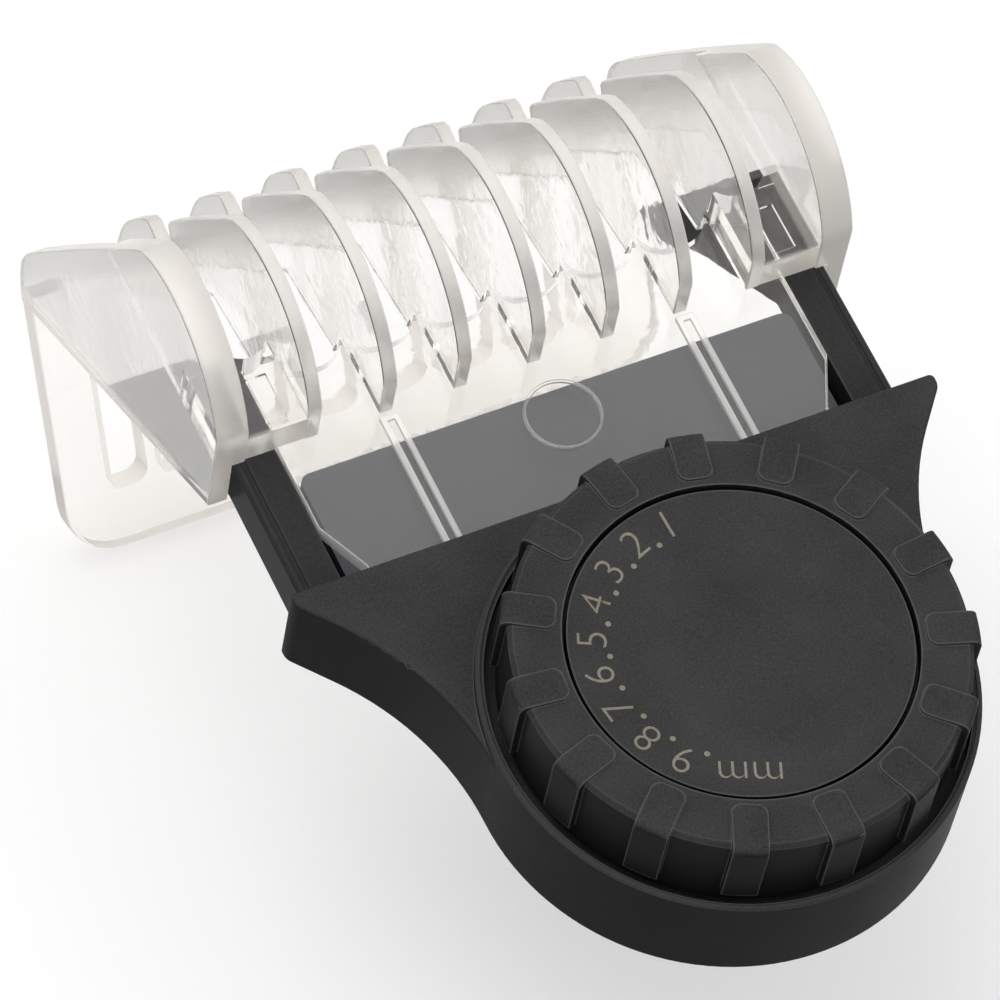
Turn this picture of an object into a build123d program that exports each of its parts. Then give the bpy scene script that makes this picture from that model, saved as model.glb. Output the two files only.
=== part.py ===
from build123d import *
from math import cos, pi, radians, sin, sqrt, tan
import os

# Adjustable guide comb for a hair clipper: a clear comb that slides forward out of a
# black carriage when the numbered dial is turned.
# Frame: X across the comb, +Y the way the comb slides out, +Z up the dial's axis.
# The origin is on the dial's axis, in the plane of the carriage's underside.

# ---- driving dimensions, mm ----
COMB_WIDTH = 48.0
TRAVEL = 8.0                 # setting 1 to setting 9, one millimetre for each number
TEETH_PITCH = 5.57
FIN_THICK = 1.03
FIN_COUNT = 7
CHEEK_THICK = 1.4

SHELL_TOP = 7.2              # top of the flared wings
RIM_TOP = 8.0                # top of the bezel round the dial
BEZEL_R = 16.9
WELL_R = 16.3
WELL_FLOOR = 6.0
ROOF_UNDER = 4.8
SHELL_WALL = 1.6
FRONT_Y = 17.2
WING_X = 24.1
FLANK_R = 21.0               # concave flank between bezel and wing tip
FLANK_TURN = 40.0

PLATE_BOTTOM = 3.0
PLATE_TOP = 4.2
TONGUE_TOP = 2.85
TONGUE_FRONT = 27.2
FLOOR_TOP = 1.2
FIT_GAP = 0.15

ARM_INNER_X = 19.3
ARM_OUTER_X = 22.45
ARM_TOP = 3.84

DIAL_R = 15.4
DIAL_TOP = 13.7
DIAL_BOTTOM = 6.65
CAP_R = 11.55
CAP_TOP = 13.5
CAP_SEAT = 12.3
PAD_COUNT = 15
PAD_R = 15.95
PAD_TOP = 13.95
PAD_FIRST_ANGLE = 6.0
HUB_R = 2.8
PILLAR_R = 1.55
RUN_GAP = 0.05

GEAR_MODULE = 0.6
PINION_TEETH = 12
PRESSURE_ANGLE = 25.0
GEAR_BOTTOM = 1.5
PITCH_R = GEAR_MODULE * PINION_TEETH / 2
DIAL_TURN = TRAVEL / PITCH_R * 180 / pi

# Side profile of the comb, as (Y, Z) points that the teeth and cheeks share.
TIP_Y = 29.3
TIP_TOP = (TIP_Y, 7.4)
BACK_MID = (34.9, 12.9)
CROWN = (42.8, 11.7)
NOSE = (60.0, -15.4)
FLAP_LENGTH = 23.9
FLAP_LEAN = 29.8             # degrees from vertical, leaning back under the carriage
FLAP_THICK = 2.2

os.makedirs("parts", exist_ok=True)


def save(name, shape):
    """Write one sub-part as its own STEP file."""
    export_step(shape, f"parts/{name}.step")


def block(x0, x1, y0, y1, z0, z1):
    """A box from its two corners."""
    size = Box(x1 - x0, y1 - y0, z1 - z0, align=Align.MIN)
    return Pos(x0, y0, z0) * size


def rod(x, y, r, z0, z1):
    """An upright cylinder."""
    return Pos(x, y, z0) * Cylinder(r, z1 - z0, align=(Align.CENTER, Align.CENTER, Align.MIN))


def side_prism(face_points, x0, x1):
    """Extrude an outline of (Y, Z) points from x0 to x1."""
    outline = Polyline(*face_points, close=True)
    plane = Plane(origin=(x0, 0, 0), x_dir=(0, 1, 0), z_dir=(1, 0, 0))
    return extrude(plane * make_face(outline), amount=x1 - x0)


def mirrored(shape):
    """The same shape on the other side of the comb."""
    return mirror(shape, about=Plane.YZ)


# ---- carriage outline: round bezel, concave flanks, blunt wing tips ----
flank_x = BEZEL_R + FLANK_R * (1 - cos(radians(FLANK_TURN)))
flank_y = FLANK_R * sin(radians(FLANK_TURN))
tip_y = flank_y + (WING_X - flank_x) / tan(radians(FLANK_TURN))
mid_turn = radians(FLANK_TURN / 2)
flank_mid = (BEZEL_R + FLANK_R * (1 - cos(mid_turn)), FLANK_R * sin(mid_turn))


def carriage_outline():
    """Half outline on +X, closed on the centre line, then mirrored."""
    flank = ThreePointArc((BEZEL_R, 0), flank_mid, (flank_x, flank_y))
    half_turn = BEZEL_R * sqrt(0.5)
    rear = ThreePointArc((0, -BEZEL_R), (half_turn, -half_turn), (BEZEL_R, 0))
    wing = Polyline((flank_x, flank_y), (WING_X, tip_y), (WING_X, FRONT_Y), (0, FRONT_Y))
    centre = Line((0, FRONT_Y), (0, -BEZEL_R))
    half = make_face([rear, flank, wing, centre])
    return half + mirror(half, about=Plane.YZ)


def wing_tip_edges(shape, y_low, y_high):
    """Upright edges at the wing tips."""
    edges = shape.edges().filter_by(Axis.Z)
    return [e for e in edges if abs(e.center().X) > WING_X - 0.5 and y_low < e.center().Y < y_high]


outline = carriage_outline()
inner_outline = offset(outline, amount=-SHELL_WALL, kind=Kind.INTERSECTION)
base_outline = offset(outline, amount=-SHELL_WALL - FIT_GAP, kind=Kind.INTERSECTION)

SCREW_PLACES = [(12.4, 0.8), (-12.4, 0.8), (10.9, -7.6), (-10.9, -7.6)]
POST_R = 1.9
SCREW_R = 0.75
HEAD_R = 1.5
HEAD_DEEP = 0.8
PORT_Y = 15.9                # the front port is cut this far into the wing tips
PORT_X = ARM_OUTER_X + 0.2
NECK_PORT_X = 20.9           # narrower part of the port, through the shell's front wall
BUSH_R = 3.9


def make_shell():
    """Housing shell: wings, well, bezel rim, open underneath and at the front port."""
    body = extrude(outline, amount=SHELL_TOP)
    body = fillet(wing_tip_edges(body, tip_y - 0.3, tip_y + 0.3), 1.1)
    body = fillet(wing_tip_edges(body, FRONT_Y - 0.3, FRONT_Y + 0.3), 0.4)
    top_edges = body.faces().sort_by(Axis.Z)[-1].edges()
    body = fillet(top_edges, 0.35)
    body += rod(0, 0, BEZEL_R, 0, RIM_TOP)
    rim_edge = body.faces().sort_by(Axis.Z)[-1].edges()
    body = chamfer(rim_edge, 0.15)
    body -= rod(0, 0, WELL_R, WELL_FLOOR, RIM_TOP + 1)
    body -= rod(0, 0, WELL_R + 0.3, RIM_TOP - 0.25, RIM_TOP + 1)
    body -= extrude(inner_outline, amount=ROOF_UNDER)
    body -= block(-PORT_X, PORT_X, PORT_Y, FRONT_Y + 1, -1, ROOF_UNDER)
    body -= block(-NECK_PORT_X, NECK_PORT_X, FRONT_Y - 3, FRONT_Y + 1, -1, ROOF_UNDER)
    for x, y in SCREW_PLACES:
        body += rod(x, y, POST_R, FLOOR_TOP, ROOF_UNDER)
    for x, y in SCREW_PLACES:
        body -= rod(x, y, SCREW_R + 0.02, FLOOR_TOP - 1, ROOF_UNDER - 0.3)
    return body - rod(0, 0, BUSH_R, ROOF_UNDER - 1, WELL_FLOOR + 1)


# ---- guide arms: straight bars that end in a drooped panel inside the comb's pockets ----
ARM_ROOT_Y = 9.0
ARM_BEND_Y = 37.5
ARM_DROOP = [(39.2, 1.9), (46.4, -11.3), (44.2, -11.6), (29.4, 0)]


def make_arm():
    """The +X guide arm."""
    profile = [(ARM_ROOT_Y, 0), (ARM_ROOT_Y, ARM_TOP), (ARM_BEND_Y, ARM_TOP)] + ARM_DROOP
    bar = side_prism(profile, ARM_INNER_X, ARM_OUTER_X)
    ridge = ARM_OUTER_X - 0.55
    bar -= block(ridge - 0.35, ridge, FRONT_Y - 0.8, ARM_BEND_Y, ARM_TOP - 0.3, ARM_TOP + 1)
    bar = chamfer(bar.edges().filter_by(Axis.Y).sort_by(Axis.Z)[-1], 0.3)
    keep = extrude(base_outline, amount=ARM_TOP)
    keep += block(ARM_INNER_X, NECK_PORT_X - FIT_GAP, FRONT_Y - 2, FRONT_Y, 0, ARM_TOP)
    keep += block(ARM_INNER_X, ARM_OUTER_X, PORT_Y + FIT_GAP, NOSE[0], NOSE[1], ARM_TOP)
    return bar & keep


SHAFT_TOP = 11.35
TONGUE_X = 18.6
TONGUE_START = 14.2


def make_base(arms):
    """Base plate: floor, tongue under the comb, and the pillar that the dial turns on."""
    floor = extrude(base_outline, amount=FLOOR_TOP)
    tongue = block(-TONGUE_X, TONGUE_X, TONGUE_START, TONGUE_FRONT, 0, TONGUE_TOP)
    front = tongue.edges().filter_by(Axis.Z).group_by(Axis.Y)[-1]
    tongue = fillet(front, 0.8)
    strip = block(-ARM_INNER_X, ARM_INNER_X, TONGUE_START, FRONT_Y + 6.3, 0, FLOOR_TOP)
    body = floor + tongue + strip + rod(0, 0, PILLAR_R, 0, SHAFT_TOP)
    body -= rod(0, 0, 0.8, 5.0, SHAFT_TOP + 1)
    for x, y in SCREW_PLACES:
        body -= rod(x, y, SCREW_R + 0.02, -1, FLOOR_TOP + 1)
        body -= rod(x, y, HEAD_R, -1, HEAD_DEEP)
    for arm in arms:
        body -= arm
    return body


def make_base_screw(x, y):
    """Pan screw from below, with a cross slot."""
    screw = rod(x, y, HEAD_R, 0.1, HEAD_DEEP) + rod(x, y, SCREW_R, HEAD_DEEP, ROOF_UNDER - 0.5)
    slot = block(x - 0.9, x + 0.9, y - 0.16, y + 0.16, 0, 0.5)
    slot += block(x - 0.16, x + 0.16, y - 0.9, y + 0.9, 0, 0.5)
    return screw - slot


# ---- comb ----
lead_y = NOSE[0] - CROWN[0]
lead_z = NOSE[1] - CROWN[1]
lead_length = sqrt(lead_y ** 2 + lead_z ** 2)
lead = (lead_y / lead_length, lead_z / lead_length)
lead_out = (-lead[1], lead[0])
flap_down = (-sin(radians(FLAP_LEAN)), -cos(radians(FLAP_LEAN)))
flap_in = (flap_down[1], -flap_down[0])
NOTCH_AT = 15.3              # down the leading edge, where the notch starts
NOTCH_DEEP = 0.9
BUMP_HIGH = 1.1
CHEEK_THICK_TOP = 2.4        # the cheeks are thicker above the guide arms
SLOT_END_Y = 34.2            # where the hair slots start in the slide plate
STRIP_END_Y = 36.3
LAST_SLOT_X = 20.1           # outer side of the first and last hair slots
HEEL = (44.3, 0.2)           # underside of a tooth, above the blade


def along_lead(distance, out=0.0):
    """A point along the straight leading edge, from crown to nose."""
    y = CROWN[0] + lead[0] * distance + lead_out[0] * out
    z = CROWN[1] + lead[1] * distance + lead_out[1] * out
    return (y, z)


def on_flap(distance, into=0.0):
    """A point down the flap's front face, or inside it."""
    y = NOSE[0] + flap_down[0] * distance + flap_in[0] * into
    z = NOSE[1] + flap_down[1] * distance + flap_in[1] * into
    return (y, z)


def profile_face(start, lead_points, under):
    """Closed (Y, Z) face: curved back, leading edge, round nose, underside."""
    back = ThreePointArc(TIP_TOP, BACK_MID, CROWN)
    rest = Polyline(CROWN, *lead_points, *under, *start, TIP_TOP)
    plane = Plane(origin=(0, 0, 0), x_dir=(0, 1, 0), z_dir=(1, 0, 0))
    return plane * make_face([back, rest])


JOINT_AT = 1.6               # the flap starts this far below the nose corner
joint_line = [on_flap(JOINT_AT), on_flap(JOINT_AT, FLAP_THICK)]


def make_tooth(x):
    """One fin with its notch and raised tooth tip, as far as the flap."""
    lead_points = [
        along_lead(1.5, 0.25),
        along_lead(NOTCH_AT, 0.6),
        along_lead(NOTCH_AT + 0.7, -NOTCH_DEEP),
        along_lead(NOTCH_AT + 3.4, -NOTCH_DEEP),
        along_lead(NOTCH_AT + 4.4, BUMP_HIGH),
        along_lead(NOTCH_AT + 9.6, BUMP_HIGH),
        along_lead(NOTCH_AT + 11.7, BUMP_HIGH / 2),
        along_lead(NOTCH_AT + 14.0, -0.6),
        along_lead(lead_length - 0.6, -1.5),
    ]
    under = joint_line + [HEEL, (STRIP_END_Y, 1.6), (STRIP_END_Y, PLATE_TOP)]
    face = profile_face([(TIP_Y, PLATE_TOP)], lead_points, under)
    fin = extrude(face, amount=FIN_THICK)
    return Pos(x - FIN_THICK / 2, 0, 0) * fin


def hair_slot(x0, x1, y_end, z0, z1):
    """A slot with a round end, open towards the nose."""
    radius = (x1 - x0) / 2
    straight = block(x0, x1, y_end + radius, STRIP_END_Y + 5, z0, z1)
    return straight + rod((x0 + x1) / 2, y_end + radius, radius, z0, z1)


fin_places = [(i - (FIN_COUNT - 1) / 2) * TEETH_PITCH for i in range(FIN_COUNT)]
outer_fin_side = fin_places[-1] + FIN_THICK / 2
PLATE_X = 19.2
NECK_X = 17.4
REAR_X = 14.6
PLATE_REAR = 5.0
RIB_X = 11.2
RIB_GAP = 0.5
RIB_HIGH = 0.35
RIB_END_Y = 28.9
MARK_Y = 24.7
MARK_R = 2.75
STEP_Y = 20.1
TAB_X0 = -9.3
TAB_X1 = -4.7
TAB_REAR = -3.0
STUD_PLACES = [(-7.0, -1.6), (-7.0, 3.4)]
STUD_R = 0.8


def make_plate():
    """Slide plate: tapered neck, double ribs, round mark, drive tab, ends of the hair slots."""
    half = [
        (0, PLATE_REAR),
        (REAR_X, PLATE_REAR),
        (NECK_X, FRONT_Y),
        (NECK_X, FRONT_Y + 1.6),
        (PLATE_X, 22.6),
        (PLATE_X, STRIP_END_Y),
        (0, STRIP_END_Y),
    ]
    face = make_face(Polyline(*half, close=True))
    face += mirror(face, about=Plane.YZ)
    body = Pos(0, 0, PLATE_BOTTOM) * extrude(face, amount=PLATE_TOP - PLATE_BOTTOM)
    sides = body.faces().sort_by(Axis.Z)[-1].edges()
    sides = [e for e in sides if abs(e.center().X) > NECK_X - 0.1 and e.center().Y < 34]
    body = chamfer(sides, 0.5)
    body -= block(-REAR_X, REAR_X, PLATE_REAR - 1, STEP_Y, PLATE_TOP - 0.12, PLATE_TOP + 1)
    for side in (-1, 1):
        for offset_x in (-RIB_GAP, RIB_GAP):
            x = side * RIB_X + offset_x
            body += block(x - 0.2, x + 0.2, FRONT_Y - 6, RIB_END_Y, PLATE_TOP - 0.2, PLATE_TOP + RIB_HIGH)
        edge = RIB_GAP + 0.2
        x = side * RIB_X
        body += block(x - edge, x + edge, RIB_END_Y - 0.4, RIB_END_Y, PLATE_TOP - 0.2, PLATE_TOP + RIB_HIGH)
    mark = rod(0, MARK_Y, MARK_R, PLATE_TOP, PLATE_TOP + 0.15)
    body += mark - rod(0, MARK_Y, MARK_R - 0.25, PLATE_TOP, PLATE_TOP + 1)
    body += block(TAB_X0, TAB_X1, TAB_REAR, PLATE_REAR + 1, PLATE_BOTTOM, PLATE_TOP - 0.12)
    for i in range(FIN_COUNT - 1):
        left = fin_places[i] + FIN_THICK / 2
        right = fin_places[i + 1] - FIN_THICK / 2
        body -= hair_slot(left, right, SLOT_END_Y, 0, PLATE_TOP + 1)
    last = hair_slot(outer_fin_side, LAST_SLOT_X + 0.5, SLOT_END_Y + 1, 0, PLATE_TOP + 1)
    body -= last
    body -= mirrored(last)
    for x, y in STUD_PLACES:
        body -= rod(x, y, STUD_R, PLATE_BOTTOM - 1, PLATE_TOP + 1)
    return body


CHEEK_LOW = (TIP_Y - 0.1, -0.4)
ROOF_FRONT = 36.0
ROOF_TOP = 6.7


def make_cheek():
    """The +X end cheek, with the roof of the pocket that takes the guide arm."""
    lead_points = [
        along_lead(7.0, 0.45),
        along_lead(14.2, 0.73),
        along_lead(27.6, 0.95),
        along_lead(29.4, 0.75),
        along_lead(30.5, 0.35),
        along_lead(31.4, -0.5),
        along_lead(32.2, -1.1),
    ]
    face = profile_face([CHEEK_LOW], lead_points, joint_line)
    outer = COMB_WIDTH / 2
    inner = outer - CHEEK_THICK_TOP
    wall = Pos(inner, 0, 0) * extrude(face, amount=CHEEK_THICK_TOP)
    wall -= block(inner - 1, outer - CHEEK_THICK, TIP_Y - 2, NOSE[0] + 2, NOSE[1] - 5, PLATE_TOP)
    roof = block(outer_fin_side, inner, TIP_Y, ROOF_FRONT, PLATE_TOP, ROOF_TOP)
    roof -= hair_slot(outer_fin_side, LAST_SLOT_X + 0.5, SLOT_END_Y + 1, 0, ROOF_TOP + 1)
    window = block(18.4, 20.0, 30.0, 33.7, ROOF_TOP - 0.25, ROOF_TOP + 1)
    return wall + (roof - window)


SLOT_STOP = 4.9              # solid bar left below the flap's slots
FLAP_CORNER_R = 4.0


def make_flap():
    """Front flap: lower ends of the tooth slots, with rounded lower corners."""
    normal = (0, -flap_in[0], -flap_in[1])
    plane = Plane(origin=(0, *NOSE), x_dir=(1, 0, 0), z_dir=normal)
    down_sign = -1 if plane.y_dir.Z > 0 else 1

    def strip(x0, x1, d0, d1):
        y0, y1 = sorted((down_sign * d0, down_sign * d1))
        return Pos((x0 + x1) / 2, (y0 + y1) / 2) * Rectangle(x1 - x0, y1 - y0)

    half = COMB_WIDTH / 2
    sheet = strip(-half, half, JOINT_AT, FLAP_LENGTH)
    corners = sheet.vertices().sort_by_distance((0, down_sign * FLAP_LENGTH * 9))[:2]
    sheet = fillet(corners, FLAP_CORNER_R)
    gaps = []
    for i in range(FIN_COUNT - 1):
        gaps.append((fin_places[i] + FIN_THICK / 2, fin_places[i + 1] - FIN_THICK / 2))
    gaps.append((outer_fin_side, LAST_SLOT_X))
    gaps.append((-LAST_SLOT_X, -outer_fin_side))
    slot_bottom = FLAP_LENGTH - SLOT_STOP
    for x0, x1 in gaps:
        hole = strip(x0, x1, JOINT_AT - 1, slot_bottom)
        low = hole.vertices().sort_by_distance((x1, down_sign * slot_bottom))[:1]
        sheet -= fillet(low, 1.2)
    return extrude(plane * sheet, amount=-FLAP_THICK)


# ---- dial ----
BOSS_R = 6.0
WEB_UNDER = 10.6
SKIRT_INNER_R = 14.2
PAD_WIDTH = 2.4
PAD_INNER_R = 12.3
PAD_BOTTOM = 8.2
STOP_RING_R = 10.0
STOP_PIN_R = 0.8
STOP_RIB = 1.2
STOP_ANGLE = -90.0
stop_clear = (STOP_PIN_R + STOP_RIB / 2 + 0.15) / STOP_RING_R * 180 / pi


def make_knob():
    """Dial knob: skirt, wrapped grip pads, web, hub and the two inner stop ribs."""
    body = rod(0, 0, DIAL_R, DIAL_BOTTOM, DIAL_TOP)
    body = chamfer(body.faces().sort_by(Axis.Z)[-1].edges(), 0.33)
    pad = block(PAD_INNER_R, PAD_R + 1, -PAD_WIDTH / 2, PAD_WIDTH / 2, PAD_BOTTOM, PAD_TOP)
    inner_edges = pad.edges().filter_by(Axis.Z).group_by(Axis.X)[0]
    pad = fillet(inner_edges, 0.7)
    envelope = rod(0, 0, PAD_R, PAD_BOTTOM, PAD_TOP)
    envelope = fillet(envelope.faces().sort_by(Axis.Z)[-1].edges(), 0.6)
    pad = pad & envelope
    for i in range(PAD_COUNT):
        body += Rot(0, 0, PAD_FIRST_ANGLE + i * 360 / PAD_COUNT) * pad
    body -= rod(0, 0, CAP_R + 0.3, CAP_SEAT, PAD_TOP + 1)
    cavity = rod(0, 0, SKIRT_INNER_R, DIAL_BOTTOM - 1, WEB_UNDER)
    cavity -= rod(0, 0, BOSS_R, DIAL_BOTTOM - 1, WEB_UNDER)
    body -= cavity
    for angle in (STOP_ANGLE - stop_clear, STOP_ANGLE + DIAL_TURN + stop_clear):
        rib = block(BOSS_R - 0.5, SKIRT_INNER_R + 0.3, -STOP_RIB / 2, STOP_RIB / 2, DIAL_BOTTOM, WEB_UNDER)
        body += Rot(0, 0, angle) * rib
    body += rod(0, 0, HUB_R, GEAR_BOTTOM + 1.45, DIAL_BOTTOM)
    body -= rod(0, 0, 4.0, SHAFT_TOP, CAP_SEAT)
    return body - rod(0, 0, PILLAR_R + RUN_GAP, 0, PAD_TOP)


def make_cap():
    """Dial cap with a shallow dish."""
    body = rod(0, 0, CAP_R, CAP_SEAT, CAP_TOP)
    dish_depth = 0.4
    dish_rim = CAP_R - 0.5
    dish_r = (dish_rim ** 2 + dish_depth ** 2) / (2 * dish_depth)
    return body - Pos(0, 0, CAP_TOP - dish_depth + dish_r) * Sphere(dish_r)


def involute_point(base_r, roll):
    """A point of the involute of a circle, starting on +X."""
    x = base_r * (cos(roll) + roll * sin(roll))
    y = base_r * (sin(roll) - roll * cos(roll))
    return (x, y)


def turn(point, angle):
    """Turn a point in the XY plane, angle in radians."""
    x, y = point
    return (x * cos(angle) - y * sin(angle), x * sin(angle) + y * cos(angle))


BACKLASH = 0.12
ADDENDUM = 0.9 * GEAR_MODULE
DEDENDUM = 1.15 * GEAR_MODULE


def make_pinion():
    """Involute pinion under the hub, with a tooth pointing at the rack."""
    pressure = radians(PRESSURE_ANGLE)
    base_r = PITCH_R * cos(pressure)
    tip_r = PITCH_R + ADDENDUM
    root_r = PITCH_R - DEDENDUM
    half_tooth = pi / (2 * PINION_TEETH) - BACKLASH / (2 * PITCH_R)
    start = half_tooth + tan(pressure) - pressure
    roll_tip = sqrt((tip_r / base_r) ** 2 - 1)
    steps = 5
    flank = [involute_point(base_r, roll_tip * i / steps) for i in range(steps + 1)]
    lower = [turn(p, -start) for p in flank]
    upper = [(x, -y) for x, y in reversed(lower)]
    root = root_r - 0.1
    foot_low = turn((root, 0), -start)
    foot_high = (foot_low[0], -foot_low[1])
    tooth_face = make_face(Polyline(foot_low, *lower, *upper, foot_high, close=True))
    tooth = extrude(tooth_face, amount=1.45)
    body = rod(0, 0, root_r, 0, 1.45)
    for i in range(PINION_TEETH):
        body += Rot(0, 0, i * 360 / PINION_TEETH) * tooth
    body -= rod(0, 0, PILLAR_R + RUN_GAP, -1, 3)
    return Pos(0, 0, GEAR_BOTTOM) * body


RACK_BACK_X = -8.6
RACK_REAR = -11.4
RACK_FRONT = 5.5


def make_rack():
    """Drive rack on the pinion's -X side, so that the comb slides out as the dial turns clockwise."""
    pitch = pi * GEAR_MODULE
    root_x = -PITCH_R - DEDENDUM
    tip_x = -PITCH_R + ADDENDUM
    slope = tan(radians(PRESSURE_ANGLE))
    half_pitch_line = pitch / 4 - BACKLASH / 2
    body = block(RACK_BACK_X, root_x, RACK_REAR, RACK_FRONT, GEAR_BOTTOM, PLATE_BOTTOM)
    for i in range(-6, 1):
        y = (i + 0.5) * pitch
        root_half = half_pitch_line + DEDENDUM * slope
        tip_half = half_pitch_line - ADDENDUM * slope
        points = [
            (root_x - 0.1, y - root_half),
            (root_x, y - root_half),
            (tip_x, y - tip_half),
            (tip_x, y + tip_half),
            (root_x, y + root_half),
            (root_x - 0.1, y + root_half),
        ]
        tooth = extrude(make_face(Polyline(*points, close=True)), amount=PLATE_BOTTOM - GEAR_BOTTOM)
        body += Pos(0, 0, GEAR_BOTTOM) * tooth
    for x, y in STUD_PLACES:
        body -= rod(x, y, STUD_R, GEAR_BOTTOM - 1, PLATE_BOTTOM + 1)
    return body


right_arm = make_arm()
left_arm = mirrored(right_arm)
right_cheek = make_cheek()

save("housing_shell", make_shell())
save("base_plate", make_base([right_arm, left_arm]))
save("guide_arm_right", right_arm)
save("guide_arm_left", left_arm)
for number, (x, y) in enumerate(SCREW_PLACES, 1):
    save(f"base_screw_{number}", make_base_screw(x, y))
bush = rod(0, 0, BUSH_R, ROOF_UNDER - 0.3, WELL_FLOOR + 0.3)
save("pivot_bush", bush - rod(0, 0, HUB_R + RUN_GAP, 0, 9))
spring_washer = rod(0, 0, 5.6, WELL_FLOOR, WELL_FLOOR + 0.35)
save("spring_washer", spring_washer - rod(0, 0, BUSH_R + 0.1, 0, 9))
stop_x = STOP_RING_R * cos(radians(STOP_ANGLE))
stop_y = STOP_RING_R * sin(radians(STOP_ANGLE))
save("stop_pin", rod(stop_x, stop_y, STOP_PIN_R, WELL_FLOOR, WELL_FLOOR + 2.6))
thrust_washer = rod(0, 0, 3.3, SHAFT_TOP, SHAFT_TOP + 0.25)
save("thrust_washer", thrust_washer - rod(0, 0, 0.8, 0, CAP_TOP))
pivot_screw = rod(0, 0, 2.4, SHAFT_TOP + 0.25, CAP_SEAT - 0.1) + rod(0, 0, 0.8, 5.0, SHAFT_TOP + 0.25)
save("pivot_screw", pivot_screw - block(-1.8, 1.8, -0.25, 0.25, CAP_SEAT - 0.4, CAP_SEAT))
save("dial_knob", make_knob())
save("dial_cap", make_cap())
save("dial_pinion", make_pinion())
save("comb_plate", make_plate())
for number, x in enumerate(fin_places, 1):
    save(f"comb_tooth_{number}", make_tooth(x))
save("comb_cheek_right", right_cheek)
save("comb_cheek_left", mirrored(right_cheek))
save("comb_flap", make_flap())
save("drive_rack", make_rack())
for number, (x, y) in enumerate(STUD_PLACES, 1):
    save(f"rack_stud_{number}", rod(x, y, STUD_R, GEAR_BOTTOM + 0.1, PLATE_TOP - 0.12))
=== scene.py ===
import math

import bmesh
import bpy
from mathutils import Matrix, Vector


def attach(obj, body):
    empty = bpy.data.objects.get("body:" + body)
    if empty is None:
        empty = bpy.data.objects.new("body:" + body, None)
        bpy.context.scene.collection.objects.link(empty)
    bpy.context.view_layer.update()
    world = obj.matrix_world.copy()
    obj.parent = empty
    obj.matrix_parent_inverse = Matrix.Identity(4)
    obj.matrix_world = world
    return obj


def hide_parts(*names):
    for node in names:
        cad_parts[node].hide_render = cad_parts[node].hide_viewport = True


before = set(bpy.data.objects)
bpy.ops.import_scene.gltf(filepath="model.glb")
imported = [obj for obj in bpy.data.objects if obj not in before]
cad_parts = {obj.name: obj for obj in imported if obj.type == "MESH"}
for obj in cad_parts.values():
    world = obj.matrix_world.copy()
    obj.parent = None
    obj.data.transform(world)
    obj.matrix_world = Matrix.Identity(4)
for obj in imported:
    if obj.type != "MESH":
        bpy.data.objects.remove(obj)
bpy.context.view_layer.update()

MM = 0.001


def mm(*values):
    """Millimetres to the scene's metres."""
    return tuple(v * MM for v in values)


# ---------------------------------------------------------------- node helpers
COLOUR_A, COLOUR_B, COLOUR_OUT = 6, 7, 2  # a Mix node's colour sockets


def new_material(name):
    """A node material and its Principled shader."""
    material = bpy.data.materials.new(name)
    material.use_nodes = True
    return material, material.node_tree.nodes["Principled BSDF"]


def add_node(material, kind, **inputs):
    """A new node in a material or the world, with the values of some of its inputs."""
    node = material.node_tree.nodes.new(kind)
    for key, value in inputs.items():
        node.inputs[key].default_value = value
    return node


def link(material, source, target):
    material.node_tree.links.new(source, target)


def ramp(material, value, start, stop, low=0.0, high=1.0):
    """Smooth step of a value, from low at start to high at stop."""
    step = add_node(material, "ShaderNodeMapRange")
    step.interpolation_type = "SMOOTHSTEP"
    step.inputs["From Min"].default_value = start
    step.inputs["From Max"].default_value = stop
    step.inputs["To Min"].default_value = low
    step.inputs["To Max"].default_value = high
    link(material, value, step.inputs["Value"])
    return step.outputs["Result"]


def rescale(material, mask, low, high):
    """A mask brought to run smoothly from low, where it is off, to high, where it is on."""
    return ramp(material, mask, 0, 1, low, high)


def maths(material, operation, *values):
    """What a Math node makes of one or two values."""
    node = add_node(material, "ShaderNodeMath")
    node.operation = operation
    for value, socket in zip(values, node.inputs):
        link(material, value, socket)
    return node.outputs["Value"]


def both(material, first, second):
    """A mask that is on where both masks are."""
    return maths(material, "MULTIPLY", first, second)


def either(material, first, second):
    """A mask that is on where either mask is."""
    return maths(material, "MAXIMUM", first, second)


def size_of(material, value):
    """A value without its sign."""
    return maths(material, "ABSOLUTE", value)


def along(material, vector, direction):
    """How far a vector reaches along a direction in Y and Z."""
    measure = add_node(material, "ShaderNodeVectorMath")
    measure.operation = "DOT_PRODUCT"
    measure.inputs[1].default_value = (0, *direction)
    link(material, vector, measure.inputs[0])
    return measure.outputs["Value"]


def distance_from(material, place, origin, direction):
    """How far a place lies beyond a plane through origin, along a direction in Y and Z."""
    shift = add_node(material, "ShaderNodeVectorMath")
    shift.operation = "SUBTRACT"
    shift.inputs[1].default_value = (0, *origin)
    link(material, place, shift.inputs[0])
    return along(material, shift.outputs["Vector"], direction)


def split(material, vector):
    """The X, Y and Z outputs of a vector."""
    node = add_node(material, "ShaderNodeSeparateXYZ")
    link(material, vector, node.inputs[0])
    return node.outputs


def mix_colours(material, factor, first, second):
    """From a colour output, where factor is 0, to a fixed colour, where it is 1."""
    mix = add_node(material, "ShaderNodeMix")
    mix.data_type = "RGBA"
    link(material, factor, mix.inputs["Factor"])
    link(material, first, mix.inputs[COLOUR_A])
    mix.inputs[COLOUR_B].default_value = (*second, 1)
    return mix.outputs[COLOUR_OUT]


def colour_ramp(material, value, first, second, start=0.0, stop=1.0):
    """From one colour, where the value is start, to another, where it is stop."""
    tone = add_node(material, "ShaderNodeValToRGB")
    low_end, high_end = tone.color_ramp.elements
    low_end.color, high_end.color = (*first, 1), (*second, 1)
    low_end.position, high_end.position = start, stop
    link(material, value, tone.inputs["Fac"])
    return tone.outputs["Color"]


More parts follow.
